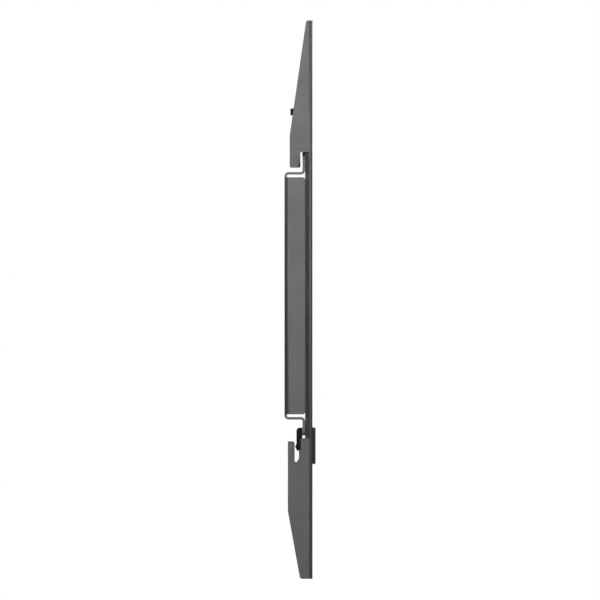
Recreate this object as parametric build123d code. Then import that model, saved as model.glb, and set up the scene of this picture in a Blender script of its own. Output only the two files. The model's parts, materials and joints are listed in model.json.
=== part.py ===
from build123d import *
import os

# Slim fixed television mount: a formed steel wall plate with a rail flange along its top and bottom,
# and two upright brackets that hook over the top rail and latch behind the bottom rail.
# Millimetres. Origin: centre of the wall plate's back face. +X to the right, +Y into the wall, +Z up.
# "Depth" is the distance out from the wall, so depth d lies at y = -d.

# Wall plate, one folded sheet
PLATE_WIDTH = 460.0
PLATE_HEIGHT = 220.0
PLATE_DEPTH = 16.2
PLATE_SHEET = 2.0
BEND_RADIUS = 1.2
RAIL_HEIGHT = 12.5
EAR_RELIEF = 2.1
EAR_CORNER = 2.0
PLATE_CORNER = 3.0
WINDOW_WIDTH = 168.0
WINDOW_HEIGHT = 100.0
WINDOW_CORNER = 10.0
WINDOW_CENTRE = 112.0
STUD_SPACING = 406.4
FIX_ROW_SPACING = 150.0
FIX_SLOT_LENGTH = 40.0
FIX_SLOT_WIDTH = 9.0
FIX_COLUMNS = 3

# Spirit level in the tray of the wall plate
LEVEL_WIDTH = 48.0
LEVEL_HEIGHT = 11.0
LEVEL_DEPTH = 11.0
LEVEL_GAP = 1.4
LEVEL_PEG_SPACING = 40.0
LEVEL_PEG_RADIUS = 2.0
LEVEL_END_WALL = 5.0
LEVEL_WINDOW_WIDTH = 30.0
VIAL_RADIUS = 4.4
VIAL_WALL = 1.1
VIAL_LENGTH = 36.0
VIAL_END = 2.5
BUBBLE_RADIUS = 1.5
BUBBLE_LENGTH = 9.0

# Upright bracket (the arm), one folded sheet, drawn for the right-hand side about its own middle
ARM_SPACING = 400.0
ARM_LENGTH = 440.0
ARM_DROP = 3.0
ARM_WIDTH = 34.0
ARM_SHEET = 1.5
ARM_STANDOFF = 5.9
INNER_FLANGE_END = 30.0

# Hook at the top of the arm
HOOK_WALL_DEPTH = 4.1
HOOK_FINGER_GAP = 1.6
HOOK_REACH = 9.1
HOOK_SHOULDER = 13.0
HOOK_LEAD = 1.9
HOOK_LEAD_HEIGHT = 6.1
ARM_TIP_WIDTH = 5.0
LINER_PAD = 3.3
LINER_WIDTH = 5.1
LINER_BACK = 3.6
LINER_TOP = 5.7
STAKE_RADIUS = 1.5

# Rubber bumper on the arm's sloping upper edge
BUMPER_HEIGHT = 5.5
BUMPER_CENTRE = 18.55
BUMPER_STEP = 0.56
BUMPER_LEG_WIDTH = 3.2
BUMPER_LEG_REACH = 7.0

# Lower end of the arm
GUARD_WALL_DEPTH = 2.63
GUARD_DROP = 4.6
GUARD_LENGTH = 54.9
THROAT_BEHIND_NOSE = 1.15
THROAT_STEP_WIDTH = 1.5
THROAT_WIDTH = 3.45
THROAT_STEP = 9.0
THROAT_LENGTH = 15.8
THROAT_SLANT = 5.3
FOOT_WIDTH = 9.8

# Holes for the television's screws
TV_CENTRE = 6.0
TV_STEP = 50.0
TV_HOLE_RADIUS = 4.3
TV_SLOT_LENGTH = 28.0
HOLE_MARGIN = 3.0

# Spring latch at the lower end of the arm
LATCH_GAP = 2.2
NOSE_ENGAGEMENT = 6.1
NOSE_BACK_GAP = 0.05
NOSE_DEPTH = 4.7
NOSE_WIDTH = 12.4
NOSE_CAM = 1.5
LATCH_TRAVEL = 8.5
SLIDER_WIDTH = 15.4
SLIDER_DEPTH = 6.0
SLIDER_HEIGHT = 4.8
SLIDER_RUNNER_HEIGHT = 3.3
SLIDER_RUNNER_WIDTH = 2.5
RUN_GAP = 0.3
BASE_WALL = 4.0
BASE_FLOOR = 1.6
COVER_THICK = 1.6
LIP_THICK = 2.4
LIP_OVERLAP = 2.0
LIP_RISE = 8.5
LIP_PANEL_EDGE = 3.5
LIP_PANEL_SINK = 0.6
SPRING_LENGTH = 12.0
SPRING_RADIUS = 2.3
SPRING_WIRE = 0.3
SPRING_TURNS = 4.5
TAIL_RADIUS = 1.5
TAIL_LENGTH = 33.0
TONGUE_BUMP = 1.05
TONGUE_BUMP_UP = 3.2
TONGUE_BUMP_REACH = 2.4
TONGUE_LENGTH = 9.8
TONGUE_WIDTH = 5.0
STEM_STEP = 1.9
SCREW_RADIUS = 1.0
SCREW_HEAD_RADIUS = 1.9
SCREW_HEAD_HEIGHT = 0.9
SCREW_LENGTH = 7.0
PULL_WIDTH = 14.0
PULL_HEIGHT = 28.0
PULL_THICK = 5.0
PULL_SOCKET = 8.0
PULL_HOLE_RADIUS = 1.8
PULL_HOLE_UP = 5.0
PULL_RIB = 0.6

# Clearances
FIT_GAP = 0.15
SNUG_GAP = 0.05

# Worked out from the sizes above
PLATE_BEND = PLATE_SHEET + BEND_RADIUS
ARM_BEND = ARM_SHEET + BEND_RADIUS
RAIL_TOP = PLATE_HEIGHT / 2
TRAY_TOP = RAIL_TOP - RAIL_HEIGHT
EAR_TOP = TRAY_TOP - PLATE_SHEET - EAR_RELIEF
RAIL_BACK = PLATE_DEPTH - PLATE_SHEET
LEVEL_Z = EAR_TOP - LEVEL_GAP - LEVEL_HEIGHT / 2
VIAL_DEPTH = PLATE_SHEET + LEVEL_DEPTH / 2

ARM_FACE_DEPTH = PLATE_DEPTH + ARM_STANDOFF
ARM_TIP_DEPTH = ARM_FACE_DEPTH - ARM_TIP_WIDTH
FOOT_DEPTH = ARM_FACE_DEPTH - FOOT_WIDTH
ARM_TOP = ARM_LENGTH / 2 - ARM_DROP
ARM_BOTTOM = -ARM_LENGTH / 2 - ARM_DROP
ARM_SIDE = ARM_WIDTH / 2
FLANGE_INNER = ARM_SIDE - ARM_SHEET
WEB_BACK = ARM_FACE_DEPTH - ARM_SHEET
BEND_DEPTH = ARM_FACE_DEPTH - ARM_BEND
HOOK_FINGER_DEPTH = RAIL_BACK - HOOK_FINGER_GAP
HOOK_LEAD_DEPTH = HOOK_FINGER_DEPTH - HOOK_LEAD
BUMPER_FACE_DEPTH = HOOK_WALL_DEPTH + BUMPER_STEP
HOOK_SLOT_TOP = RAIL_TOP + LINER_PAD
HOOK_BOTTOM = RAIL_TOP - HOOK_REACH
SHOULDER_Z = HOOK_SLOT_TOP + HOOK_SHOULDER
LINER_INNER = FLANGE_INNER - LINER_WIDTH
STAKE_X = LINER_INNER + STAKE_RADIUS + 0.4
STAKE_Z = HOOK_SLOT_TOP + LINER_TOP / 2

LATCH_TOP = -RAIL_TOP - LATCH_GAP
NOSE_TOP = -RAIL_TOP + NOSE_ENGAGEMENT
NOSE_FRONT = RAIL_BACK - NOSE_BACK_GAP
NOSE_BACK = NOSE_FRONT - NOSE_DEPTH
THROAT_STEP_DEPTH = NOSE_FRONT - THROAT_BEHIND_NOSE
THROAT_DEPTH = THROAT_STEP_DEPTH - THROAT_STEP_WIDTH
GUARD_INNER_DEPTH = THROAT_DEPTH - THROAT_WIDTH
STEM_DEPTH = THROAT_STEP_DEPTH - STEM_STEP
BODY_BACK = THROAT_STEP_DEPTH + RUN_GAP
BODY_FRONT = BODY_BACK + SLIDER_DEPTH
BODY_BOTTOM = LATCH_TOP - SLIDER_HEIGHT
SPRING_SEAT = BODY_BOTTOM - SPRING_LENGTH
BASE_BOTTOM = SPRING_SEAT - BASE_FLOOR
CAVITY_FRONT = BODY_FRONT + RUN_GAP
CAVITY_SIDE = SLIDER_WIDTH / 2 + RUN_GAP
BASE_SIDE = CAVITY_SIDE + BASE_WALL
COVER_BACK = THROAT_STEP_DEPTH - COVER_THICK
COVER_SLOT_BOTTOM = BODY_BOTTOM - LATCH_TRAVEL - 2 * RUN_GAP
TAIL_DEPTH = (BODY_BACK + BODY_FRONT) / 2
TAIL_BOTTOM = BODY_BOTTOM - TAIL_LENGTH
PULL_TOP = TAIL_BOTTOM + PULL_SOCKET
PULL_BOTTOM = PULL_TOP - PULL_HEIGHT
LIP_TOP = LATCH_TOP + LIP_RISE
LIP_BOTTOM = BASE_BOTTOM - LIP_OVERLAP
PLUG_TOP = LIP_TOP - LIP_OVERLAP
SCREW_X = CAVITY_SIDE + BASE_WALL / 2
SCREW_Z = (LATCH_TOP + BASE_BOTTOM) / 2


def outline(*corners):
    """Closed flat outline through (a, b, radius) corners. A radius of 0 leaves the corner sharp."""
    face = make_face(Polyline(*[(a, b) for a, b, radius in corners], close=True))
    for a, b, radius in corners:
        if radius:
            face = fillet(face.vertices().sort_by_distance((a, b, 0))[0], radius)
    return face


def side_prism(face, x_low, x_high):
    """Solid between two x values from a (depth, z) outline."""
    plane = Plane(origin=(x_high, 0, 0), x_dir=(0, -1, 0), z_dir=(-1, 0, 0))
    return extrude(plane * face, amount=x_high - x_low)


def front_prism(face, depth_low, depth_high):
    """Solid between two depths from an (x, z) outline."""
    return extrude(Plane.XZ.offset(depth_low) * face, amount=depth_high - depth_low)


def plan_prism(face, z_low, z_high):
    """Solid between two heights from an (x, depth) outline."""
    plane = Plane(origin=(0, 0, z_high), x_dir=(1, 0, 0), z_dir=(0, 0, -1))
    return extrude(plane * face, amount=z_high - z_low)


def block(xs, depths, zs):
    """Box between pairs of x, depth and z values."""
    size = [high - low for low, high in (xs, depths, zs)]
    return Pos(sum(xs) / 2, -sum(depths) / 2, sum(zs) / 2) * Box(*size)


def rod_out(radius, x, z, depths):
    """Round bar at right angles to the wall."""
    length = depths[1] - depths[0]
    return Pos(x, -sum(depths) / 2, z) * Rot(90, 0, 0) * Cylinder(radius, length)


def rod_up(radius, x, depth, zs):
    """Upright round bar."""
    return Pos(x, -depth, sum(zs) / 2) * Cylinder(radius, zs[1] - zs[0])


def rod_across(radius, xs, depth, z):
    """Round bar along the width."""
    return Pos(sum(xs) / 2, -depth, z) * Rot(0, 90, 0) * Cylinder(radius, xs[1] - xs[0])


def both_sides(shape):
    return shape + mirror(shape, about=Plane.YZ)


# Wall plate


def tray_and_rails():
    """Web, the two shelf legs and the two rail flanges, folded from one sheet."""
    section = outline(
        (0, 0, 0),
        (0, TRAY_TOP, PLATE_BEND),
        (RAIL_BACK, TRAY_TOP, BEND_RADIUS),
        (RAIL_BACK, RAIL_TOP, 0),
        (PLATE_DEPTH, RAIL_TOP, 0),
        (PLATE_DEPTH, TRAY_TOP - PLATE_SHEET, PLATE_BEND),
        (PLATE_SHEET, TRAY_TOP - PLATE_SHEET, BEND_RADIUS),
        (PLATE_SHEET, 0, 0),
    )
    upper = side_prism(section, -PLATE_WIDTH / 2, PLATE_WIDTH / 2)
    whole = upper + mirror(upper, about=Plane.XY)
    front = RectangleRounded(PLATE_WIDTH, PLATE_HEIGHT, PLATE_CORNER)
    return whole & front_prism(front, 0, PLATE_DEPTH)


def plate_ear():
    """Right-hand end of the web, folded forward."""
    side = PLATE_WIDTH / 2
    fold = outline(
        (side - 2 * PLATE_BEND, 0, 0),
        (side, 0, PLATE_BEND),
        (side, PLATE_DEPTH, 0),
        (side - PLATE_SHEET, PLATE_DEPTH, 0),
        (side - PLATE_SHEET, PLATE_SHEET, BEND_RADIUS),
        (side - 2 * PLATE_BEND, PLATE_SHEET, 0),
    )
    silhouette = outline(
        (0, -EAR_TOP, 0),
        (0, EAR_TOP, 0),
        (PLATE_DEPTH, EAR_TOP, EAR_CORNER),
        (PLATE_DEPTH, -EAR_TOP, EAR_CORNER),
    )
    return plan_prism(fold, -EAR_TOP, EAR_TOP) & side_prism(silhouette, 0, side)


def plate_cutouts():
    """Windows, wall-fixing slots, middle holes and the level's peg holes."""
    through = (-1.0, PLATE_SHEET + 1.0)
    holes = Sketch()
    for side in (-1, 1):
        holes += Pos(side * WINDOW_CENTRE, 0) * RectangleRounded(WINDOW_WIDTH, WINDOW_HEIGHT, WINDOW_CORNER)
        holes += Pos(side * LEVEL_PEG_SPACING / 2, LEVEL_Z) * Circle(LEVEL_PEG_RADIUS + FIT_GAP)
    for row in (-FIX_ROW_SPACING / 2, FIX_ROW_SPACING / 2):
        holes += Pos(0, row) * Circle(FIX_SLOT_WIDTH / 2)
        for column in range(1, FIX_COLUMNS + 1):
            place = STUD_SPACING / 2 * column / FIX_COLUMNS
            for side in (-1, 1):
                holes += Pos(side * place, row) * SlotOverall(FIX_SLOT_LENGTH, FIX_SLOT_WIDTH)
    return front_prism(holes, *through)


def wall_plate():
    plate = tray_and_rails()
    relief_start = PLATE_WIDTH / 2 - PLATE_BEND
    relief_z = TRAY_TOP - PLATE_BEND
    relief = block((relief_start, PLATE_WIDTH), (-1, PLATE_DEPTH + 1), (-relief_z, relief_z))
    plate -= both_sides(relief)
    plate += both_sides(plate_ear())
    return plate - plate_cutouts()


# Spirit level


def level_holder():
    """Moulded cradle with two pegs through the web. Its bore is open at the right-hand end."""
    side = LEVEL_WIDTH / 2
    depths = (PLATE_SHEET, PLATE_SHEET + LEVEL_DEPTH)
    zs = (LEVEL_Z - LEVEL_HEIGHT / 2, LEVEL_Z + LEVEL_HEIGHT / 2)
    body = block((-side, side), depths, zs)
    body = fillet(body.edges().filter_by(Axis.Y), 1.5)
    bore_start = -VIAL_LENGTH / 2 - FIT_GAP
    body -= rod_across(VIAL_RADIUS + FIT_GAP, (bore_start, side + 1), VIAL_DEPTH, LEVEL_Z)
    half_window = LEVEL_WINDOW_WIDTH / 2
    window_z = VIAL_RADIUS - 0.6
    body -= block(
        (-half_window, half_window),
        (VIAL_DEPTH, depths[1] + 1),
        (LEVEL_Z - window_z, LEVEL_Z + window_z),
    )
    peg = rod_out(LEVEL_PEG_RADIUS, LEVEL_PEG_SPACING / 2, LEVEL_Z, (0.2, PLATE_SHEET + 0.5))
    return body + both_sides(peg)


def level_vial():
    """Closed clear tube, hollow inside, with two dark reading lines left to the finish."""
    half = VIAL_LENGTH / 2
    tube = rod_across(VIAL_RADIUS, (-half, half), VIAL_DEPTH, LEVEL_Z)
    inner = half - VIAL_END
    return tube - rod_across(VIAL_RADIUS - VIAL_WALL, (-inner, inner), VIAL_DEPTH, LEVEL_Z)


def level_liquid():
    """The liquid that fills the vial, less its bubble at the top."""
    half = VIAL_LENGTH / 2 - VIAL_END - SNUG_GAP
    radius = VIAL_RADIUS - VIAL_WALL - SNUG_GAP
    liquid = rod_across(radius, (-half, half), VIAL_DEPTH, LEVEL_Z)
    bubble_z = LEVEL_Z + radius - BUBBLE_RADIUS / 2
    half_bubble = BUBBLE_LENGTH / 2 - BUBBLE_RADIUS
    bubble = rod_across(BUBBLE_RADIUS, (-half_bubble, half_bubble), VIAL_DEPTH, bubble_z)
    for side in (-1, 1):
        bubble += Pos(side * half_bubble, -VIAL_DEPTH, bubble_z) * Sphere(BUBBLE_RADIUS)
    return liquid - bubble


# Arm


def slope_depth(z):
    """Depth of the arm's sloping upper edge at height z."""
    share = (z - SHOULDER_Z) / (ARM_TOP - SHOULDER_Z)
    return HOOK_WALL_DEPTH + share * (ARM_TIP_DEPTH - HOOK_WALL_DEPTH)


def hook_flange_outline():
    """Silhouette of the deep outboard flange: hook above, cut-back middle, guard and foot below."""
    guard_top = LATCH_TOP - GUARD_DROP + LATCH_GAP
    step_z = LATCH_TOP - THROAT_STEP
    throat_z = LATCH_TOP - THROAT_LENGTH
    return outline(
        (ARM_FACE_DEPTH, ARM_TOP, 0),
        (ARM_TIP_DEPTH, ARM_TOP, 1.8),
        (HOOK_WALL_DEPTH, SHOULDER_Z, 3.0),
        (HOOK_WALL_DEPTH, HOOK_BOTTOM, 1.4),
        (HOOK_LEAD_DEPTH, HOOK_BOTTOM, 0.8),
        (HOOK_FINGER_DEPTH, HOOK_BOTTOM + HOOK_LEAD_HEIGHT, 2.0),
        (HOOK_FINGER_DEPTH, HOOK_SLOT_TOP, 1.0),
        (BEND_DEPTH, HOOK_SLOT_TOP, 0),
        (BEND_DEPTH, LATCH_TOP, 0),
        (THROAT_STEP_DEPTH, LATCH_TOP, 0.6),
        (THROAT_STEP_DEPTH, step_z, 0.6),
        (THROAT_DEPTH, step_z, 0.6),
        (THROAT_DEPTH, throat_z, 1.0),
        (GUARD_INNER_DEPTH, throat_z - THROAT_SLANT, 1.0),
        (GUARD_INNER_DEPTH, guard_top, 1.6),
        (GUARD_WALL_DEPTH, guard_top, 0.8),
        (GUARD_WALL_DEPTH, guard_top - GUARD_LENGTH, 3.0),
        (FOOT_DEPTH, ARM_BOTTOM, 2.0),
        (ARM_FACE_DEPTH, ARM_BOTTOM, 0),
    )


def inner_flange_outline():
    """Silhouette of the shallow inboard flange, which stops short of both ends of the arm."""
    before = PLATE_DEPTH - 1.0
    top = ARM_TOP - INNER_FLANGE_END
    bottom = ARM_BOTTOM + INNER_FLANGE_END
    run = BEND_DEPTH - before
    return outline(
        (ARM_FACE_DEPTH, ARM_TOP, 0),
        (BEND_DEPTH, ARM_TOP, 0),
        (BEND_DEPTH, top + run, 2.0),
        (before, top, 0),
        (before, bottom, 0),
        (BEND_DEPTH, bottom - run, 2.0),
        (BEND_DEPTH, ARM_BOTTOM, 0),
        (ARM_FACE_DEPTH, ARM_BOTTOM, 0),
    )


def clear_of_latch(z, reach):
    """True where a hole that reaches this far up and down from z misses the latch and its pulled tab."""
    pulled = PULL_BOTTOM - LATCH_TRAVEL
    return z - reach > LIP_TOP + HOLE_MARGIN or z + reach < pulled - HOLE_MARGIN


def arm_cutouts():
    """Screw holes and slots for the television, the latch window and the liner's stake hole."""
    holes = Sketch()
    window_side = BASE_SIDE + FIT_GAP
    window_top = PLUG_TOP + FIT_GAP
    window_bottom = BASE_BOTTOM - FIT_GAP
    window = RectangleRounded(2 * window_side, window_top - window_bottom, 0.5)
    holes += Pos(0, (window_top + window_bottom) / 2) * window
    holes += Pos(STAKE_X, STAKE_Z) * Circle(STAKE_RADIUS + FIT_GAP)
    steps = range(-4, 5)
    for step in steps:
        z = TV_CENTRE + step * TV_STEP
        if step and clear_of_latch(z, TV_HOLE_RADIUS):
            holes += Pos(0, z) * Circle(TV_HOLE_RADIUS)
    for step in steps[:-1]:
        z = TV_CENTRE + (step + 0.5) * TV_STEP
        if clear_of_latch(z, TV_SLOT_LENGTH / 2):
            holes += Pos(0, z) * Rot(0, 0, 90) * SlotOverall(TV_SLOT_LENGTH, 2 * TV_HOLE_RADIUS)
    return front_prism(holes, WEB_BACK - 1.0, ARM_FACE_DEPTH + 1.0)


def arm():
    section = outline(
        (-ARM_SIDE, PLATE_DEPTH, 0),
        (-ARM_SIDE, ARM_FACE_DEPTH, ARM_BEND),
        (ARM_SIDE, ARM_FACE_DEPTH, ARM_BEND),
        (ARM_SIDE, 0, 0),
        (FLANGE_INNER, 0, 0),
        (FLANGE_INNER, WEB_BACK, BEND_RADIUS),
        (-FLANGE_INNER, WEB_BACK, BEND_RADIUS),
        (-FLANGE_INNER, PLATE_DEPTH, 0),
    )
    channel = plan_prism(section, ARM_BOTTOM, ARM_TOP)
    outboard = channel & side_prism(hook_flange_outline(), 0, ARM_SIDE)
    inboard = channel & side_prism(inner_flange_outline(), -ARM_SIDE, 0)
    return outboard + inboard - arm_cutouts()


def hook_liner():
    """Nylon saddle behind the hook flange: it rides on the rail's top edge and lines the finger."""
    back = HOOK_FINGER_DEPTH - LINER_BACK
    pad_back = RAIL_BACK - FIT_GAP
    saddle = outline(
        (back, HOOK_BOTTOM, 0.8),
        (HOOK_FINGER_DEPTH, HOOK_BOTTOM, 1.2),
        (HOOK_FINGER_DEPTH, HOOK_SLOT_TOP, 0.5),
        (pad_back, HOOK_SLOT_TOP, 0.5),
        (pad_back, RAIL_TOP, 0.4),
        (PLATE_DEPTH, RAIL_TOP, 0.4),
        (PLATE_DEPTH, HOOK_SLOT_TOP, 0.5),
        (BEND_DEPTH, HOOK_SLOT_TOP, 0),
        (BEND_DEPTH, HOOK_SLOT_TOP + LINER_TOP, 0),
        (back, HOOK_SLOT_TOP + LINER_TOP, 1.0),
    )
    liner = side_prism(saddle, LINER_INNER, FLANGE_INNER)
    foot_side = ARM_SIDE - ARM_BEND
    liner += block(
        (LINER_INNER, foot_side),
        (BEND_DEPTH - 0.5, WEB_BACK),
        (HOOK_SLOT_TOP, HOOK_SLOT_TOP + LINER_TOP),
    )
    return liner + rod_out(STAKE_RADIUS, STAKE_X, STAKE_Z, (WEB_BACK - 0.5, ARM_FACE_DEPTH - 0.1))


def wall_bumper():
    """Rubber bumper that wraps from the arm's sloping edge onto its inner face."""
    low = SHOULDER_Z + BUMPER_CENTRE - BUMPER_HEIGHT / 2
    high = low + BUMPER_HEIGHT
    on_edge = outline(
        (BUMPER_FACE_DEPTH, low, 0.6),
        (slope_depth(low), low, 0),
        (slope_depth(high), high, 0),
        (BUMPER_FACE_DEPTH, high, 0.6),
    )
    leg_end = BUMPER_FACE_DEPTH + BUMPER_LEG_REACH
    leg = outline(
        (BUMPER_FACE_DEPTH, low, 0.6),
        (leg_end, low, 0.6),
        (leg_end, high, 0.6),
        (BUMPER_FACE_DEPTH, high, 0.6),
    )
    bumper = side_prism(on_edge, FLANGE_INNER, ARM_SIDE)
    return bumper + side_prism(leg, FLANGE_INNER - BUMPER_LEG_WIDTH, FLANGE_INNER)


# Latch


def latch_base():
    """Moulded housing through the arm's window, with a lip on the television side and two snap barbs."""
    lip_side = BASE_SIDE + LIP_OVERLAP
    lip = block((-lip_side, lip_side), (ARM_FACE_DEPTH, ARM_FACE_DEPTH + LIP_THICK), (LIP_BOTTOM, LIP_TOP))
    lip = chamfer(lip.faces().sort_by(Axis.Y)[0].edges(), 0.6)
    panel_side = lip_side - LIP_PANEL_EDGE
    panel_height = LIP_TOP - LIP_BOTTOM - 2 * LIP_PANEL_EDGE
    panel = Pos(0, (LIP_TOP + LIP_BOTTOM) / 2) * RectangleRounded(2 * panel_side, panel_height, 2.0)
    lip_face = ARM_FACE_DEPTH + LIP_THICK
    lip -= front_prism(panel, lip_face - LIP_PANEL_SINK, lip_face + 1)
    plug = block((-BASE_SIDE, BASE_SIDE), (CAVITY_FRONT, ARM_FACE_DEPTH), (BASE_BOTTOM, PLUG_TOP))
    box = block((-BASE_SIDE, BASE_SIDE), (THROAT_STEP_DEPTH, CAVITY_FRONT), (BASE_BOTTOM, LATCH_TOP))
    box -= block(
        (-CAVITY_SIDE, CAVITY_SIDE),
        (THROAT_STEP_DEPTH, CAVITY_FRONT),
        (SPRING_SEAT, LATCH_TOP),
    )
    box -= rod_up(TAIL_RADIUS + FIT_GAP, 0, TAIL_DEPTH, (BASE_BOTTOM - 1, SPRING_SEAT + 1))
    barb = outline(
        (BASE_SIDE, WEB_BACK - SNUG_GAP, 0),
        (BASE_SIDE + 0.9, WEB_BACK - SNUG_GAP, 0),
        (BASE_SIDE, WEB_BACK - 3.0, 0),
    )
    barb_z = (LATCH_TOP + BASE_BOTTOM) / 2
    housing = lip + plug + box + both_sides(plan_prism(barb, barb_z - 4.0, barb_z + 4.0))
    hole_end = THROAT_STEP_DEPTH + SCREW_LENGTH
    pilot = rod_out(SCREW_RADIUS + SNUG_GAP, SCREW_X, SCREW_Z, (COVER_BACK, hole_end))
    return housing - both_sides(pilot)


def latch_cover():
    """Flat cover with an open-topped slot that the slider's stem runs in."""
    plate = block((-BASE_SIDE, BASE_SIDE), (COVER_BACK, THROAT_STEP_DEPTH), (BASE_BOTTOM, LATCH_TOP))
    slot_side = NOSE_WIDTH / 2 + RUN_GAP
    slot = outline(
        (-slot_side, LATCH_TOP + 1, 0),
        (slot_side, LATCH_TOP + 1, 0),
        (slot_side, COVER_SLOT_BOTTOM, 0.25),
        (-slot_side, COVER_SLOT_BOTTOM, 0.25),
    )
    plate -= front_prism(slot, COVER_BACK - 1, THROAT_STEP_DEPTH + 1)
    cut_depths = (COVER_BACK - 1, THROAT_STEP_DEPTH + 1)
    hole = rod_out(SCREW_RADIUS + FIT_GAP, SCREW_X, SCREW_Z, cut_depths)
    hole += screw_head(SNUG_GAP)
    return plate - both_sides(hole)


def screw_head(gap):
    """Countersunk head, flush with the cover, grown by a gap all round."""
    middle = COVER_BACK + SCREW_HEAD_HEIGHT / 2
    cone = Cone(SCREW_RADIUS + gap, SCREW_HEAD_RADIUS + gap, SCREW_HEAD_HEIGHT)
    return Pos(SCREW_X, -middle, SCREW_Z) * Rot(-90, 0, 0) * cone


def latch_screws():
    """Two countersunk screws with cross recesses that hold the cover to the base."""
    shank_end = COVER_BACK + SCREW_LENGTH
    screw = rod_out(SCREW_RADIUS, SCREW_X, SCREW_Z, (COVER_BACK + SCREW_HEAD_HEIGHT, shank_end))
    screw += screw_head(0)
    arm_half = SCREW_HEAD_RADIUS * 0.7
    recess = (COVER_BACK - 1, COVER_BACK + 0.6)
    for half_x, half_z in ((arm_half, 0.25), (0.25, arm_half)):
        xs = (SCREW_X - half_x, SCREW_X + half_x)
        screw -= block(xs, recess, (SCREW_Z - half_z, SCREW_Z + half_z))
    return both_sides(screw)


def latch_slider():
    """Nose, stem, body with runners, tongue that slides on the cover, and round tail, moulded in one piece."""
    nose = outline(
        (NOSE_BACK, NOSE_TOP, 0),
        (NOSE_FRONT, NOSE_TOP, 0.5),
        (NOSE_FRONT, LATCH_TOP, 0),
        (BODY_BACK + 1, LATCH_TOP, 0),
        (BODY_BACK + 1, BODY_BOTTOM, 0),
        (STEM_DEPTH, BODY_BOTTOM, 0),
        (STEM_DEPTH, LATCH_TOP, 0),
        (NOSE_BACK, LATCH_TOP, 0),
    )
    half_nose = NOSE_WIDTH / 2
    slider = side_prism(nose, -half_nose, half_nose)
    cam = outline(
        (NOSE_BACK - 1, NOSE_TOP + 1, 0),
        (NOSE_BACK + NOSE_CAM, NOSE_TOP + 1, 0),
        (NOSE_BACK + NOSE_CAM, NOSE_TOP, 0),
        (NOSE_BACK, NOSE_TOP - NOSE_CAM, 0),
        (NOSE_BACK - 1, NOSE_TOP - NOSE_CAM, 0),
    )
    slider -= side_prism(cam, -half_nose, half_nose)
    half_body = SLIDER_WIDTH / 2
    slider += block((-half_body, half_body), (BODY_BACK, BODY_FRONT), (BODY_BOTTOM, LATCH_TOP))
    runner = block(
        (half_body - SLIDER_RUNNER_WIDTH, half_body),
        (BODY_BACK, BODY_FRONT),
        (BODY_BOTTOM - SLIDER_RUNNER_HEIGHT, LATCH_TOP),
    )
    slider += both_sides(runner)
    tongue_end = LATCH_TOP - TONGUE_LENGTH
    bump_z = tongue_end + TONGUE_BUMP_UP
    tongue = outline(
        (NOSE_BACK, LATCH_TOP + 1, 0),
        (NOSE_BACK, bump_z + TONGUE_BUMP_REACH, 0),
        (NOSE_BACK - TONGUE_BUMP, bump_z, 0.8),
        (NOSE_BACK, bump_z - TONGUE_BUMP_REACH, 0),
        (NOSE_BACK + 0.5, tongue_end, 0),
        (COVER_BACK, tongue_end, 0),
        (COVER_BACK, LATCH_TOP + 1, 0),
    )
    slider += side_prism(tongue, -TONGUE_WIDTH / 2, TONGUE_WIDTH / 2)
    return slider + rod_up(TAIL_RADIUS, 0, TAIL_DEPTH, (TAIL_BOTTOM, BODY_BOTTOM + 1))


def latch_spring():
    """Coil spring around the slider's tail, from the base's floor up to the slider's body."""
    rise = SPRING_LENGTH - 2 * SPRING_WIRE
    path = Helix(rise / SPRING_TURNS, rise, SPRING_RADIUS)
    wire = Plane(path @ 0, z_dir=path % 0) * Circle(SPRING_WIRE)
    return Pos(0, -TAIL_DEPTH, SPRING_SEAT + SPRING_WIRE) * sweep(wire, path=path)


def latch_pull():
    """Ribbed pull tab pressed onto the end of the slider's tail, with a hole for a cord."""
    depths = (TAIL_DEPTH - PULL_THICK / 2, TAIL_DEPTH + PULL_THICK / 2)
    middle = (PULL_TOP + PULL_BOTTOM) / 2
    tab = front_prism(Pos(0, middle) * RectangleRounded(PULL_WIDTH, PULL_HEIGHT, 3.0), *depths)
    for rib in range(3):
        z = middle + (1 - rib) * 3.2
        xs = (2.5 - PULL_WIDTH / 2, PULL_WIDTH / 2 - 2.5)
        tab += block(xs, (depths[0] - PULL_RIB, depths[1] + PULL_RIB), (z - 0.6, z + 0.6))
    socket_bottom = TAIL_BOTTOM - SNUG_GAP
    tab -= rod_up(TAIL_RADIUS + SNUG_GAP, 0, TAIL_DEPTH, (socket_bottom, PULL_TOP + 1))
    hole_z = PULL_BOTTOM + PULL_HOLE_UP
    return tab - rod_out(PULL_HOLE_RADIUS, 0, hole_z, (depths[0] - 1, depths[1] + 1))


def write(name, shape):
    export_step(Compound(children=list(shape.solids())), f"parts/{name}.step")


def main():
    os.makedirs("parts", exist_ok=True)
    write("wall_plate", wall_plate())
    write("level_holder", level_holder())
    write("level_vial", level_vial())
    write("level_liquid", level_liquid())
    handed = (arm, hook_liner, wall_bumper)
    even = (latch_base, latch_cover, latch_screws, latch_slider, latch_spring, latch_pull)
    for make in handed + even:
        shape = make()
        left = mirror(shape, about=Plane.YZ) if make in handed else shape
        write(f"right_{make.__name__}", Pos(ARM_SPACING / 2, 0, 0) * shape)
        write(f"left_{make.__name__}", Pos(-ARM_SPACING / 2, 0, 0) * left)


main()
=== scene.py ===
import json
import math

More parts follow.
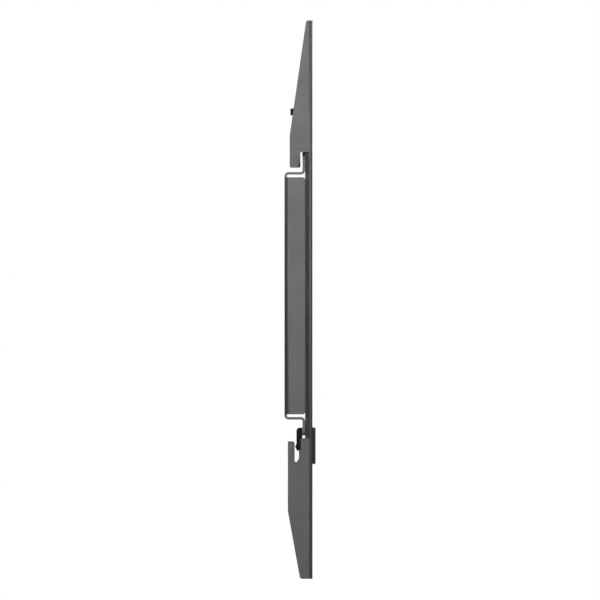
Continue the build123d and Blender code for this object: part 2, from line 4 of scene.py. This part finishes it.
import bmesh
import bpy
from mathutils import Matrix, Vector


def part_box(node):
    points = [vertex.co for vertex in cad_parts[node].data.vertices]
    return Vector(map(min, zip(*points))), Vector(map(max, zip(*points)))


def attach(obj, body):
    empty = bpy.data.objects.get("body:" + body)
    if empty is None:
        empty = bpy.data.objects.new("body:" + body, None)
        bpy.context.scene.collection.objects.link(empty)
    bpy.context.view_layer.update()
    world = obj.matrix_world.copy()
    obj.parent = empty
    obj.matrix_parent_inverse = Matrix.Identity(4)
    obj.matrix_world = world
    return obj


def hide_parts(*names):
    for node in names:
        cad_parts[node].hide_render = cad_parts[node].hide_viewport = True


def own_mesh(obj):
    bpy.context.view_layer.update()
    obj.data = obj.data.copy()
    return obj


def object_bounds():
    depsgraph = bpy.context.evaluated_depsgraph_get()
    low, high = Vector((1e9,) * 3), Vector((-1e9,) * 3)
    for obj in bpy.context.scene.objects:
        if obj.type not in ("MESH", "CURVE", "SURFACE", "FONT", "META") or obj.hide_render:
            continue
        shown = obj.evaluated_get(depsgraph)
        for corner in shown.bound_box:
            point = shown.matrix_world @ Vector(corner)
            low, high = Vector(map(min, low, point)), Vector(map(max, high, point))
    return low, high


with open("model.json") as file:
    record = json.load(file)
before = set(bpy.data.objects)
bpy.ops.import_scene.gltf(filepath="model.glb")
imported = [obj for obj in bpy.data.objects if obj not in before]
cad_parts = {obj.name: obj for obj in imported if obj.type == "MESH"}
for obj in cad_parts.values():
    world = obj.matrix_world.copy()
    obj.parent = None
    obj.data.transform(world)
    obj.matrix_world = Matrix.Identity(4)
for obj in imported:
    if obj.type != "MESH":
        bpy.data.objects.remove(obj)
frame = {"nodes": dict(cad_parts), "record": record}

cad_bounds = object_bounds()
nodes = frame["nodes"]

# Metres throughout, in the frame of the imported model: -Y is towards the television, +Z up.
MM = 0.001

# How far each finish rounds its sharp edges, and what counts as one point, as flat and as sharp
EDGE_WIDTHS = {"powder_coat": 0.25 * MM, "black_plastic": 0.20 * MM, "nylon": 0.15 * MM}
SAME_POINT = 0.002 * MM
FLAT_ANGLE = math.radians(0.5)
SHARP_ANGLE = math.radians(40)

# The photograph's flat side view, looking along +X
VIEW_WIDTH = 0.4727
VIEW_CENTRE_Y = -0.01224
VIEW_CENTRE_Z = -0.0033
VIEW_DISTANCE = 2.0

# The floor, how much paler it looks to the camera than the lights make it, and the world's light on things
FLOOR_DROP = 0.040
FLOOR_SIZE = 12.0
FLOOR_DARK = 0.24
FLOOR_PALE = 0.26
FLOOR_GLOW = 0.76
AMBIENT_BELOW = 0.05
AMBIENT_ABOVE = 0.07

# Black bands printed round the vial
LINE_SPACING = 9.6 * MM
LINE_WIDTH = 0.5 * MM
LINE_THICK = 0.03 * MM
LINE_STEPS = 96

# Coil springs of the latches. COIL_CLOSING is the share of the even pitch that the end turns give up.
COIL_WIRE_RADIUS = 0.3 * MM
COIL_TURNS = 4.5
COIL_STEPS = 240
COIL_SIDES = 12
COIL_CLOSING = 0.75

# Name, place, size and power of each pair of area lights; the other of the pair mirrors it in X
LIGHTS = (
    ("head", (3.0, 0.0, 0.25), (0.5, 0.5), 4.9),
    ("strip_wall", (1.6, 0.40, 0.25), (0.12, 1.0), 3.2),
    ("strip_tv", (1.6, -0.66, 0.25), (0.2, 1.0), 3.4),
    ("strip_corner", (1.25, -1.3, 0.25), (0.25, 1.0), 2.2),
    ("key", (0.45, 0.0, 1.1), (0.8, 0.8), 4.5),
    ("front", (0.3, -2.2, 1.3), (1.2, 1.2), 6.5),
    ("behind", (0.5, 2.0, 1.2), (1.2, 1.2), 4.5),
)


class Material:
    """A node material with one Principled shader and short ways to build its inputs."""

    def __init__(self, name):
        self.material = bpy.data.materials.new(name)
        self.material.use_nodes = True
        self.tree = self.material.node_tree
        self.shader = self.tree.nodes["Principled BSDF"]
        coordinates = self.tree.nodes.new("ShaderNodeTexCoord")
        self.place = coordinates.outputs["Object"]

    def set(self, **values):
        for name, value in values.items():
            self.shader.inputs[name.replace("_", " ")].default_value = value

    def node(self, kind):
        return self.tree.nodes.new(kind)

    def link(self, output, target):
        self.tree.links.new(output, target)

    def noise(self, scale, detail=2.0, roughness=0.5, stretch=None):
        made = self.node("ShaderNodeTexNoise")
        made.inputs["Scale"].default_value = scale
        made.inputs["Detail"].default_value = detail
        made.inputs["Roughness"].default_value = roughness
        source = self.place
        if stretch:
            mapping = self.node("ShaderNodeMapping")
            mapping.inputs["Scale"].default_value = stretch
            self.link(source, mapping.inputs["Vector"])
            source = mapping.outputs["Vector"]
        self.link(source, made.inputs["Vector"])
        return made.outputs["Fac"]

    def ramp(self, value, low, high, start=0.3, end=0.7):
        """Numbers or colours from low to high as value goes from start to end."""
        made = self.node("ShaderNodeValToRGB")
        made.color_ramp.elements[0].position = start
        made.color_ramp.elements[1].position = end
        for element, colour in zip(made.color_ramp.elements, (low, high)):
            element.color = colour if isinstance(colour, tuple) else (colour, colour, colour, 1)
        self.link(value, made.inputs["Fac"])
        return made.outputs["Color"]

    def bump(self, height, distance, strength=1.0, before=None):
        made = self.node("ShaderNodeBump")
        made.inputs["Distance"].default_value = distance
        made.inputs["Strength"].default_value = strength
        self.link(height, made.inputs["Height"])
        if before:
            self.link(before, made.inputs["Normal"])
        return made.outputs["Normal"]

    def finish(self, colour=None, roughness=None, normal=None):
        if colour:
            self.link(colour, self.shader.inputs["Base Color"])
        if roughness:
            self.link(roughness, self.shader.inputs["Roughness"])
        if normal:
            self.link(normal, self.shader.inputs["Normal"])
        return self.material


def grey(level, warm=0.0):
    return (level * (1 + warm), level, level * (1 - warm), 1)


def powder_coat():
    """Dark grey powder coat: a fine pebbled skin with slight unevenness in tone and gloss."""
    m = Material("powder_coat")
    m.set(Metallic=0.45, Specular_IOR_Level=0.5, IOR=1.5)
    broad = m.noise(14, detail=3)
    grain = m.noise(2600, detail=2)
    colour = m.ramp(broad, grey(0.123), grey(0.131), 0.25, 0.75)
    roughness = m.ramp(m.noise(60, detail=4), 0.28, 0.34, 0.3, 0.7)
    peel = m.bump(m.noise(700, detail=1), 0.00003, 0.35)
    return m.finish(colour, roughness, m.bump(grain, 0.00002, 0.5, peel))


def black_plastic():
    """Moulded black plastic with a fine spark-eroded grain."""
    m = Material("black_plastic")
    m.set(Specular_IOR_Level=0.45, IOR=1.5)
    colour = m.ramp(m.noise(90, detail=3), grey(0.016), grey(0.021), 0.3, 0.7)
    roughness = m.ramp(m.noise(240, detail=3), 0.48, 0.6, 0.3, 0.7)
    return m.finish(colour, roughness, m.bump(m.noise(3800, detail=2), 0.000015, 0.6))


def nylon():
    """Self-coloured black nylon, a little glossier than the housing, with faint flow marks."""
    m = Material("nylon")
    m.set(Specular_IOR_Level=0.2, IOR=1.53)
    flow = m.noise(160, detail=4, stretch=(1, 1, 0.25))
    colour = m.ramp(flow, grey(0.005), grey(0.008), 0.3, 0.7)
    roughness = m.ramp(flow, 0.34, 0.46, 0.3, 0.7)
    return m.finish(colour, roughness, m.bump(flow, 0.00002, 0.3))


def rubber():
    """Dull black rubber with a dusty bloom."""
    m = Material("rubber")
    m.set(Specular_IOR_Level=0.2, Sheen_Weight=0.05, Sheen_Roughness=0.6)
    bloom = m.noise(500, detail=5, roughness=0.7)
    colour = m.ramp(bloom, grey(0.005), grey(0.009), 0.35, 0.75)
    roughness = m.ramp(bloom, 0.72, 0.86, 0.3, 0.7)
    return m.finish(colour, roughness, m.bump(bloom, 0.00003, 0.4))


def screw_steel():
    """Black-oxide steel, rubbed slightly brighter in places."""
    m = Material("screw_steel")
    m.set(Metallic=0.85, Specular_IOR_Level=0.5)
    wear = m.noise(900, detail=4)
    colour = m.ramp(wear, grey(0.03), grey(0.11), 0.45, 0.8)
    roughness = m.ramp(wear, 0.42, 0.3, 0.3, 0.7)
    return m.finish(colour, roughness, m.bump(m.noise(3000), 0.00001, 0.4))


def spring_steel():
    """Bright drawn wire with fine marks around its length."""
    m = Material("spring_steel")
    m.set(Metallic=1.0)
    drawn = m.noise(1500, detail=3, stretch=(1, 1, 6))
    colour = m.ramp(drawn, grey(0.42, 0.01), grey(0.62, 0.01), 0.3, 0.7)
    roughness = m.ramp(drawn, 0.2, 0.36, 0.3, 0.7)
    return m.finish(colour, roughness, m.bump(drawn, 0.00001, 0.4))


def clear_plastic():
    """Clear acrylic of the vial, with a trace of moulding waviness."""
    m = Material("clear_plastic")
    m.set(Transmission_Weight=1.0, IOR=1.49)
    waves = m.noise(180, detail=2)
    colour = m.ramp(waves, (0.90, 0.97, 0.90, 1), (0.96, 1.0, 0.95, 1), 0.2, 0.8)
    roughness = m.ramp(waves, 0.02, 0.06, 0.3, 0.7)
    return m.finish(colour, roughness, m.bump(waves, 0.00001, 0.2))


def level_liquid():
    """Yellow-green spirit."""
    m = Material("level_liquid")
    m.set(Transmission_Weight=0.8, IOR=1.36)
    drift = m.noise(120, detail=2)
    colour = m.ramp(drift, (0.50, 0.78, 0.06, 1), (0.60, 0.88, 0.10, 1), 0.3, 0.7)
    roughness = m.ramp(drift, 0.04, 0.08, 0.3, 0.7)
    return m.finish(colour, roughness)


def give(piece, material):
    """Puts one material in every slot of a piece."""
    if not piece.data.materials:
        piece.data.materials.append(material)
    for index in range(len(piece.data.materials)):
        piece.data.materials[index] = material


def soften_edges(piece, width):
    """Rounds a CAD node's sharp edges slightly, as its coating or mould does, without touching its mesh."""
    weld = piece.modifiers.new("weld", "WELD")
    weld.merge_threshold = SAME_POINT
    flat = piece.modifiers.new("flat", "DECIMATE")
    flat.decimate_type = "DISSOLVE"
    flat.angle_limit = FLAT_ANGLE
    bevel = piece.modifiers.new("bevel", "BEVEL")
    bevel.width = width
    bevel.segments = 2
    bevel.limit_method = "ANGLE"
    bevel.angle_limit = SHARP_ANGLE


def dress_nodes():
    """Gives each CAD node the material of its slot in the record."""
    made = {
        "powder_coat": powder_coat(),
        "nylon": nylon(),
        "black_plastic": black_plastic(),
        "rubber": rubber(),
        "screw_steel": screw_steel(),
        "spring_steel": spring_steel(),
        "clear_plastic": clear_plastic(),
        "level_liquid": level_liquid(),
    }
    for subpart in frame["record"]["subparts"]:
        piece = nodes[subpart["node"]]
        slot = subpart["material_slot"]
        give(piece, made[slot])
        if slot in EDGE_WIDTHS:
            soften_edges(piece, EDGE_WIDTHS[slot])
    return made


def join_rings(shape, rings):
    """Faces between each ring of points and the next."""
    for first, second in zip(rings, rings[1:]):
        for index in range(len(first)):
            after = (index + 1) % len(first)
            shape.faces.new((first[index], first[after], second[after], second[index]))


def added_piece(name, shape, material):
    """Turns a finished shape into an object with one material."""
    mesh = bpy.data.meshes.new(name)
    shape.to_mesh(mesh)
    shape.free()
    piece = bpy.data.objects.new(name, mesh)
    bpy.context.scene.collection.objects.link(piece)
    give(piece, material)
    return piece


def reading_lines(material):
    """Two thin black bands around the vial, at the ends of its bubble. They ride with the wall plate."""
    low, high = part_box("level_vial")
    middle = [(a + b) / 2 for a, b in zip(low, high)]
    radius = (high[2] - low[2]) / 2
    for name, side in (("reading_line_left", -1), ("reading_line_right", 1)):
        shape = bmesh.new()
        rings = []
        half = LINE_WIDTH / 2
        for across, out in ((-half, 0.0), (-half, LINE_THICK), (half, LINE_THICK), (half, 0.0)):
            ring = []
            for step in range(LINE_STEPS):
                turn = 2 * math.pi * step / LINE_STEPS
                away = radius + out
                ring.append(shape.verts.new((across, away * math.cos(turn), away * math.sin(turn))))
            rings.append(ring)
        join_rings(shape, rings + rings[:1])
        bmesh.ops.recalc_face_normals(shape, faces=shape.faces)
        line = added_piece(name, shape, material)
        line.location = (middle[0] + side * LINE_SPACING / 2, middle[1], middle[2])
        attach(line, "wall_plate")


def coil_shape(low, high):
    """Round wire coiled upwards between two corners of a box, with its turns closer together at both ends."""
    middle_x, middle_y = (low[0] + high[0]) / 2, (low[1] + high[1]) / 2
    coil_radius = (high[0] - low[0]) / 2 - COIL_WIRE_RADIUS
    rise = high[2] - low[2] - 2 * COIL_WIRE_RADIUS
    shape = bmesh.new()
    rings = []
    for step in range(COIL_STEPS + 1):
        along = step / COIL_STEPS
        turn = 2 * math.pi * COIL_TURNS * along
        share = along - COIL_CLOSING * math.sin(2 * math.pi * along) / (2 * math.pi)
        height = low[2] + COIL_WIRE_RADIUS + rise * share
        ring = []
        for side in range(COIL_SIDES):
            around = 2 * math.pi * side / COIL_SIDES
            away = coil_radius + COIL_WIRE_RADIUS * math.cos(around)
            place = (
                middle_x + away * math.cos(turn),
                middle_y + away * math.sin(turn),
                height + COIL_WIRE_RADIUS * math.sin(around),
            )
            ring.append(shape.verts.new(place))
        rings.append(ring)
    join_rings(shape, rings)
    shape.faces.new(rings[0])
    shape.faces.new(rings[-1])
    bmesh.ops.recalc_face_normals(shape, faces=shape.faces)
    for face in shape.faces:
        face.smooth = len(face.verts) == 4
    return shape


def latch_coils(material):
    """Coil springs that take the place of the latches' CAD springs and ride with the latches."""
    for side in ("left", "right"):
        low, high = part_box(f"{side}_latch_spring")
        coil = added_piece(f"{side}_latch_coil", coil_shape(low, high), material)
        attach(coil, f"{side}_latch")
        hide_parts(f"{side}_latch_spring")
        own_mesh(coil)


def area_light(name, place, size, power):
    """Soft rectangular light aimed at the origin."""
    data = bpy.data.lights.new(name, "AREA")
    data.shape = "RECTANGLE"
    data.size = size[0]
    data.size_y = size[1]
    data.energy = power
    light = bpy.data.objects.new(name, data)
    bpy.context.scene.collection.objects.link(light)
    light.location = place
    light.rotation_euler = (-Vector(place)).to_track_quat("-Z", "Y").to_euler()


def floor_finish():
    """Pale floor that shows soft shadows. Only the camera sees its glow, so it lights nothing else."""
    m = Material("floor")
    m.set(Roughness=0.9, Specular_IOR_Level=0.0)
    glow = m.node("ShaderNodeEmission")
    glow.inputs["Color"].default_value = grey(FLOOR_GLOW)
    path = m.node("ShaderNodeLightPath")
    both = m.node("ShaderNodeAddShader")
    m.link(path.outputs["Is Camera Ray"], glow.inputs["Strength"])
    m.link(m.shader.outputs["BSDF"], both.inputs[0])
    m.link(glow.outputs["Emission"], both.inputs[1])
    m.link(both.outputs["Shader"], m.tree.nodes["Material Output"].inputs["Surface"])
    return m.finish(m.ramp(m.noise(3), grey(FLOOR_DARK), grey(FLOOR_PALE)))


def make_stage():
    """Pale floor below the mount, white surroundings and soft lights."""
    low, high = cad_bounds
    mesh = bpy.data.meshes.new("floor")
    half = FLOOR_SIZE / 2
    level = low[2] - FLOOR_DROP
    corners = [(-half, -half, level), (half, -half, level), (half, half, level), (-half, half, level)]
    mesh.from_pydata(corners, [], [(0, 1, 2, 3)])
    floor = bpy.data.objects.new("floor", mesh)
    bpy.context.scene.collection.objects.link(floor)
    give(floor, floor_finish())
    make_world()
    for name, place, size, power in LIGHTS:
        for side in (-1, 1):
            area_light(name, (side * place[0], place[1], place[2]), size, power)


def make_world():
    """White to look at, but a dimmer light on things, strongest from above."""
    world = bpy.data.worlds.new("studio")
    bpy.context.scene.world = world
    world.use_nodes = True
    tree = world.node_tree
    seen = tree.nodes["Background"]
    seen.inputs["Color"].default_value = (1, 1, 1, 1)
    lighting = tree.nodes.new("ShaderNodeBackground")
    coordinates = tree.nodes.new("ShaderNodeTexCoord")
    parts = tree.nodes.new("ShaderNodeSeparateXYZ")
    height = tree.nodes.new("ShaderNodeMapRange")
    height.inputs["From Min"].default_value = -1.0
    height.inputs["To Min"].default_value = AMBIENT_BELOW
    height.inputs["To Max"].default_value = AMBIENT_ABOVE
    path = tree.nodes.new("ShaderNodeLightPath")
    mix = tree.nodes.new("ShaderNodeMixShader")
    tree.links.new(coordinates.outputs["Generated"], parts.inputs["Vector"])
    tree.links.new(parts.outputs["Z"], height.inputs["Value"])
    tree.links.new(height.outputs["Result"], lighting.inputs["Strength"])
    tree.links.new(path.outputs["Is Camera Ray"], mix.inputs["Fac"])
    tree.links.new(lighting.outputs["Background"], mix.inputs[1])
    tree.links.new(seen.outputs["Background"], mix.inputs[2])
    tree.links.new(mix.outputs["Shader"], tree.nodes["World Output"].inputs["Surface"])


def make_camera():
    data = bpy.data.cameras.new("camera")
    data.type = "ORTHO"
    data.ortho_scale = VIEW_WIDTH
    data.clip_start = 0.01
    data.clip_end = 20
    camera = bpy.data.objects.new("camera", data)
    bpy.context.scene.collection.objects.link(camera)
    camera.location = (-VIEW_DISTANCE, VIEW_CENTRE_Y, VIEW_CENTRE_Z)
    camera.rotation_euler = (math.radians(90), 0, math.radians(-90))
    bpy.context.scene.camera = camera


finishes = dress_nodes()
reading_lines(finishes["black_plastic"])
latch_coils(finishes["spring_steel"])
make_stage()
make_camera()
bpy.context.scene.view_settings.view_transform = "Standard"
